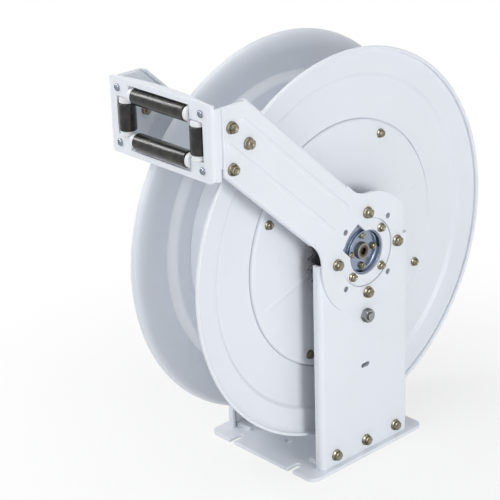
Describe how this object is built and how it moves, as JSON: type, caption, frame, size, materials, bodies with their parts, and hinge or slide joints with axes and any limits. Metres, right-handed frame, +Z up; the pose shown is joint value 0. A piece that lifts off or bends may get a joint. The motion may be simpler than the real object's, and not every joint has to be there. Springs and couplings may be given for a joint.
{
  "type": "fire hose reel",
  "caption": "Spring-rewind fire hose reel: a spool between two pedestals on a base plate, with ratchet, swivel inlet and guide arms carrying a four-roller hose guide.",
  "frame": {"origin": "centre of the base plate's underside, straight below the middle of the axle", "axes": "+Z up; the axle lies along Y with the spring side at -Y and the water inlet at +Y; the guide head is at -X"},
  "size_m": [0.5999, 0.2887, 0.639],
  "materials": {
    "white_paint": "white powder coat, fine satin texture",
    "yellow_zinc": "yellow-passivated zinc plate",
    "blue_zinc": "blue-passivated zinc plate",
    "steel": "plain zinc-plated steel",
    "bright_steel": "bright nickel plate",
    "spring_steel": "oiled blued strip",
    "cast_iron": "painted grey casting",
    "bronze": "sintered bronze, dull",
    "brass": "machined brass",
    "seal_rubber": "black nitrile rubber",
    "black_nylon": "black nylon, satin",
    "white_nylon": "white moulded nylon"
  },
  "bodies": {
    "frame": {"base_plate": "white_paint", "near_foot_angle": "white_paint", "far_foot_angle": "white_paint", "near_pedestal": "white_paint", "far_pedestal": "white_paint", "foot_bolts": "yellow_zinc", "foot_nuts": "yellow_zinc", "near_bearing_plate": "white_paint", "far_bearing_plate": "white_paint", "near_bearing_cup": "blue_zinc", "far_bearing_cup": "blue_zinc", "bearing_plate_bolts": "yellow_zinc", "bearing_cup_screws": "yellow_zinc", "near_guide_arm": "white_paint", "far_guide_arm": "white_paint", "hub_bolts": "yellow_zinc", "hub_nuts": "yellow_zinc", "guide_head": "white_paint", "corner_blocks": "white_nylon", "head_rivets": "bright_steel", "roller_pins": "steel", "arm_bolts": "yellow_zinc", "arm_nuts": "yellow_zinc", "axle_shaft": "steel", "axle_collars": "steel", "collar_pins": "steel", "thrust_washers": "bronze", "spring_arbor": "cast_iron", "pawl_stud": "bright_steel", "pawl_nut": "bright_steel", "pawl_spring": "bright_steel", "spring_post": "steel", "inlet_elbow": "brass"},
    "spool": {"near_disc": "white_paint", "far_disc": "white_paint", "drum": "white_paint", "drum_divider": "steel", "spring_cover": "white_paint", "cover_bolts": "yellow_zinc", "cover_spacers": "steel", "near_hub": "cast_iron", "far_hub": "cast_iron", "spool_hub_bolts": "yellow_zinc", "axle_bushes": "bronze", "ratchet_wheel": "steel", "ratchet_screws": "yellow_zinc", "main_spring": "spring_steel", "swivel_manifold": "brass", "swivel_seals": "seal_rubber", "outlet_pipe": "brass", "outlet_fitting": "brass"},
    "pawl": {"ratchet_pawl": "steel"},
    "roller_top": {"top_roller": "black_nylon"},
    "roller_bottom": {"bottom_roller": "black_nylon"},
    "roller_near": {"near_roller": "black_nylon"},
    "roller_far": {"far_roller": "black_nylon"}
  },
  "joints": [
    {"name": "spool_spin", "type": "hinge", "parent": "frame", "child": "spool", "pos_m": [0, 0, 0.339], "axis": [0, -1, 0], "continuous": true},
    {"name": "pawl_swing", "type": "hinge", "parent": "frame", "child": "pawl", "pos_m": [0, -0.094, 0.237], "axis": [0, 1, 0], "range_deg": [0, 11], "stiffness_Nm_per_rad": 0.2, "springref_deg": -28.65, "deforming": ["pawl_spring"]},
    {"name": "top_roller_spin", "type": "hinge", "parent": "frame", "child": "roller_top", "pos_m": [-0.286, 0, 0.614], "axis": [0, 1, 0], "continuous": true},
    {"name": "bottom_roller_spin", "type": "hinge", "parent": "frame", "child": "roller_bottom", "pos_m": [-0.286, 0, 0.548], "axis": [0, 1, 0], "continuous": true},
    {"name": "near_roller_spin", "type": "hinge", "parent": "frame", "child": "roller_near", "pos_m": [-0.286, -0.074, 0.581], "axis": [0, 0, 1], "continuous": true},
    {"name": "far_roller_spin", "type": "hinge", "parent": "frame", "child": "roller_far", "pos_m": [-0.286, 0.074, 0.581], "axis": [0, 0, 1], "continuous": true}
  ]
}
